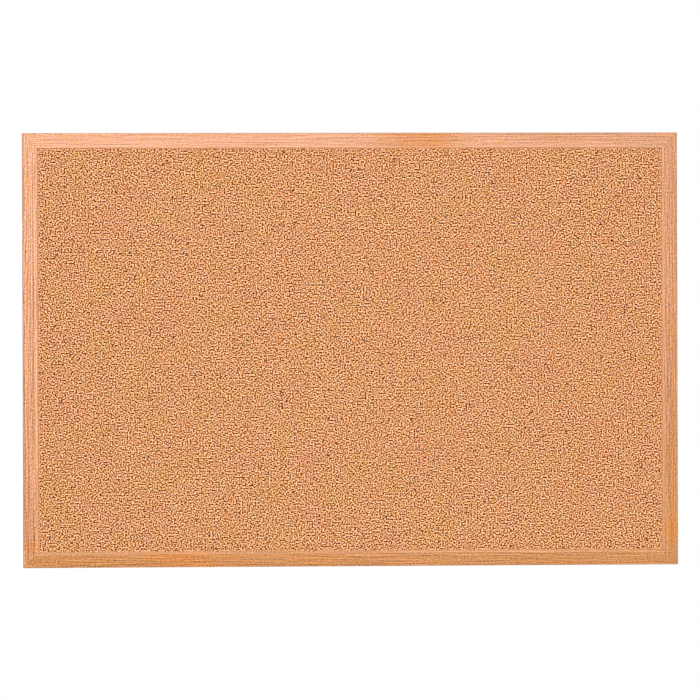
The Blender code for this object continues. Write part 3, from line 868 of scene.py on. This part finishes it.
class CORKBOARD_OT_face_back(bpy.types.Operator):
    """Gives the backer its pressed hardboard surface"""

    bl_idname = "cork_board.face_back"
    bl_label = "Face the back"

    def execute(self, context):
        settings = context.scene.cork_board_hardware
        material, w, shader, place = new_finish("Hardboard")
        fibre = w.noise(place, (500.0, 500.0, 1400.0), 4.0, 0.65)
        felt = w.noise(place, 150.0, 4.0, 0.6)
        cloud = w.noise(place, 7.0, 4.0, 0.6)
        x, _, z = w.add("ShaderNodeSeparateXYZ", {0: place}).outputs
        wires = [w.math("SINE", w.math("MULTIPLY", side, 3400.0)) for side in (x, z)]
        screen = w.math("MULTIPLY", *wires)
        tone = w.mix(w.fade(fibre, 0.35, 0.7), settings.hardboard, (0.34, 0.19, 0.10))
        tone = w.mix(w.math("MULTIPLY", w.fade(felt, 0.5, 0.75), 0.5), tone, (0.10, 0.05, 0.025))
        tone = w.mix(w.fade(cloud, 0.38, 0.66, 0.0, 0.55), tone, (0.29, 0.165, 0.09))
        tone = w.mix(w.fade(cloud, 0.46, 0.30, 0.0, 0.4), tone, (0.13, 0.062, 0.03))
        w.feed(shader.inputs["Base Color"], tone)
        dull = w.group(handled_dull(), place=place, roughness=0.74, swing=0.1, fine=700.0)
        w.feed(shader.inputs["Roughness"], dull["Roughness"])
        shader.inputs["Specular IOR Level"].default_value = 0.3
        height = w.math("MULTIPLY_ADD", screen, 0.4, w.math("MULTIPLY", fibre, 0.6))
        add_bump(w, shader, height, 0.00035)
        finish_node("backer_board", material)
        return {"FINISHED"}


def zinc_finish(name, tone, roughness, spangle, edge_width):
    material, w, shader, place = new_finish(name)
    plate = w.group(zinc_plate(), place=place, tone=tone, roughness=roughness, spangle=spangle)
    edge = w.group(worn_edge(), place=place, width=edge_width, break_up=1500.0)["Mask"]
    w.feed(shader.inputs["Base Color"], w.mix(edge, plate["Color"], (0.74, 0.74, 0.73)))
    w.feed(shader.inputs["Roughness"], plate["Roughness"])
    shader.inputs["Metallic"].default_value = 1.0
    add_bump(w, shader, plate["Height"], 0.00004, 0.5)
    return material


class CORKBOARD_OT_plate_fixings(bpy.types.Operator):
    """Gives the corner nails and the framer's points dull bright-zinc steel"""

    bl_idname = "cork_board.plate_fixings"
    bl_label = "Plate the fixings"

    def execute(self, context):
        zinc = context.scene.cork_board_hardware.zinc
        material = zinc_finish("Dull Zinc", [c * 0.85 for c in zinc], 0.42, 900.0, 0.0002)
        for name in NAILS + POINTS:
            finish_node(name, material)
        return {"FINISHED"}


class CORKBOARD_OT_plate_hangers(bpy.types.Operator):
    """Gives the straps, the D-rings and their screws their plating"""

    bl_idname = "cork_board.plate_hangers"
    bl_label = "Plate the hangers"

    def execute(self, context):
        zinc = context.scene.cork_board_hardware.zinc
        strap = zinc_finish("Strap Zinc", zinc, 0.34, 700.0, 0.0003)
        ring = zinc_finish("Ring Zinc", [min(1.0, c * 1.12) for c in zinc], 0.24, 1200.0, 0.0002)
        screw = zinc_finish("Screw Zinc", [c * 0.95 for c in zinc], 0.30, 1400.0, 0.0002)
        for side in SIDES:
            finish_node(f"{side}_hanger_strap", strap)
            finish_node(f"{side}_hanger_ring", ring)
            finish_node(f"{side}_hanger_screw", screw)
        return {"FINISHED"}


class CORKBOARD_OT_mould_bumpers(bpy.types.Operator):
    """Gives the two bumpers their rubber"""

    bl_idname = "cork_board.mould_bumpers"
    bl_label = "Mould the bumpers"

    def execute(self, context):
        settings = context.scene.cork_board_hardware
        material, w, shader, place = new_finish("Bumper Rubber")
        bloom = w.noise(place, 900.0, 3.0)
        dull = w.group(handled_dull(), place=place, roughness=0.72, swing=0.12, broad=300.0)
        tone = w.mix(w.fade(bloom, 0.4, 0.7), settings.rubber, (0.075, 0.074, 0.072))
        tone = w.mix(w.math("MULTIPLY", dull["Grime"], 0.3), tone, (0.16, 0.14, 0.12))
        w.feed(shader.inputs["Base Color"], tone)
        w.feed(shader.inputs["Roughness"], dull["Roughness"])
        add_bump(w, shader, bloom, 0.00008)
        for side in SIDES:
            finish_node(f"{side}_bumper", material)
        return {"FINISHED"}


# Studio

# The camera's place across and up, in metres, and its pan, tilt and roll, in radians.
CAMERA_PLACE = (-0.02262, 0.04893)
CAMERA_TURN = (-0.01314, -0.00086, -0.00318)
CAMERA_SHIFT = -0.05
FLOOR_RADIUS = 2.0


def add_light(name, watts, size, place, target=(0.0, 0.0, 0.0), tone=(1.0, 1.0, 1.0)):
    lamp = bpy.data.lights.new(name, "AREA")
    lamp.shape = "DISK"
    lamp.size = size
    lamp.energy = watts
    lamp.color = tone
    light = bpy.data.objects.new(name, lamp)
    bpy.context.scene.collection.objects.link(light)
    light.location = place
    light.rotation_mode = "QUATERNION"
    light.rotation_quaternion = (Vector(target) - Vector(place)).to_track_quat("-Z", "Y")
    light.visible_camera = False


def white_surround(brightness):
    world = bpy.data.worlds.new("White Surround")
    bpy.context.scene.world = world
    world.use_nodes = True
    world.node_tree.nodes.clear()
    w = Wiring(world.node_tree)
    lighting = w.add("ShaderNodeBackground", {"Color": (1.0, 0.99, 0.98), "Strength": brightness})
    seen = w.add("ShaderNodeBackground", {"Color": (1.0, 1.0, 1.0), "Strength": 1.0})
    straight = w.add("ShaderNodeLightPath").outputs["Is Camera Ray"]
    mixed = w.add("ShaderNodeMixShader", {0: straight, 1: lighting.outputs[0], 2: seen.outputs[0]})
    w.add("ShaderNodeOutputWorld", {"Surface": mixed.outputs[0]})


def add_floor(settings):
    bm = bmesh.new()
    bmesh.ops.create_circle(bm, cap_ends=True, cap_tris=True, segments=96, radius=FLOOR_RADIUS)
    bmesh.ops.translate(bm, vec=(0, 0, -settings.floor_drop), verts=bm.verts)
    mesh = bpy.data.meshes.new("studio_floor")
    bm.to_mesh(mesh)
    bm.free()
    material, w, shader, place = new_finish("Pale Floor")
    cloud = w.noise(place, 2.0, 3.0)
    tone = w.mix(cloud, settings.floor, [min(1.0, c * 1.06) for c in settings.floor])
    w.feed(shader.inputs["Base Color"], tone)
    w.feed(shader.inputs["Roughness"], w.spread(cloud, 0.3, 0.7, 0.7, 0.85))
    flat = w.vector("MULTIPLY", place, (1.0, 1.0, 0.0))
    away = w.add("ShaderNodeVectorMath", {0: flat}, operation="LENGTH").outputs["Value"]
    w.feed(shader.inputs["Alpha"], w.fade(away, FLOOR_RADIUS - 0.05, 0.6))
    mesh.materials.append(material)
    floor = bpy.data.objects.new("studio_floor", mesh)
    bpy.context.scene.collection.objects.link(floor)


def add_camera(settings):
    data = bpy.data.cameras.new("board_camera")
    data.lens = settings.lens
    data.sensor_width = 36.0
    data.shift_y = CAMERA_SHIFT
    camera = bpy.data.objects.new("board_camera", data)
    bpy.context.scene.collection.objects.link(camera)
    aside, height = CAMERA_PLACE
    pan, tilt, roll = CAMERA_TURN
    place = Matrix.Translation((aside, -settings.distance, height))
    turn = Matrix.Rotation(pan, 4, "Z") @ Matrix.Rotation(math.pi / 2 + tilt, 4, "X")
    camera.matrix_world = place @ turn @ Matrix.Rotation(roll, 4, "Z")
    bpy.context.scene.camera = camera


class CORKBOARD_OT_set_studio(bpy.types.Operator):
    """Sets the floor, the lights, the white surround and the camera"""

    bl_idname = "cork_board.set_studio"
    bl_label = "Set the studio"

    def execute(self, context):
        settings = context.scene.cork_board_studio
        add_floor(settings)
        white_surround(settings.sky)
        add_light("key_light", settings.key, 2.4, (-0.6, -3.2, 0.8), tone=(1.0, 0.985, 0.96))
        add_light("fill_light", settings.fill, 2.6, (1.2, -3.0, -0.3))
        add_light("rear_light", settings.rear, 1.6, (-1.4, 2.2, 1.8))
        add_camera(settings)
        context.scene.view_settings.view_transform = "Standard"
        context.scene.view_settings.look = "None"
        return {"FINISHED"}


class CORKBOARD_PT_finish(bpy.types.Panel):
    """Lists the steps that finish the board, with what can be changed in each"""

    bl_idname = "CORKBOARD_PT_finish"
    bl_label = "Cork Board"
    bl_space_type = "VIEW_3D"
    bl_region_type = "UI"
    bl_category = "Cork Board"

    def draw(self, context):
        for name, steps in STEPS:
            box = self.layout.box()
            settings = getattr(context.scene, name)
            for key in settings.__annotations__:
                box.prop(settings, key)
            for step in steps:
                box.operator(step.bl_idname)


STEPS = (
    ("cork_board_cork", (CORKBOARD_OT_lay_cork,)),
    ("cork_board_oak", (CORKBOARD_OT_varnish_frame, CORKBOARD_OT_glue_mitres)),
    (
        "cork_board_hardware",
        (
            CORKBOARD_OT_face_back,
            CORKBOARD_OT_plate_fixings,
            CORKBOARD_OT_plate_hangers,
            CORKBOARD_OT_mould_bumpers,
        ),
    ),
    ("cork_board_studio", (CORKBOARD_OT_set_studio,)),
)
SETTINGS = {
    "cork_board_cork": CorkSettings,
    "cork_board_oak": OakSettings,
    "cork_board_hardware": HardwareSettings,
    "cork_board_studio": StudioSettings,
}
OPERATORS = [step for _, steps in STEPS for step in steps]


def register():
    for kind in (*SETTINGS.values(), *OPERATORS, CORKBOARD_PT_finish):
        bpy.utils.register_class(kind)
    for name, kind in SETTINGS.items():
        setattr(bpy.types.Scene, name, PointerProperty(type=kind))


def unregister():
    for name in SETTINGS:
        delattr(bpy.types.Scene, name)
    for kind in (CORKBOARD_PT_finish, *reversed(OPERATORS), *SETTINGS.values()):
        bpy.utils.unregister_class(kind)


def main():
    register()
    bpy.ops.cork_board.lay_cork()
    bpy.ops.cork_board.varnish_frame()
    bpy.ops.cork_board.glue_mitres()
    bpy.ops.cork_board.face_back()
    bpy.ops.cork_board.plate_fixings()
    bpy.ops.cork_board.plate_hangers()
    bpy.ops.cork_board.mould_bumpers()
    bpy.ops.cork_board.set_studio()


if __name__ == "__main__":
    main()
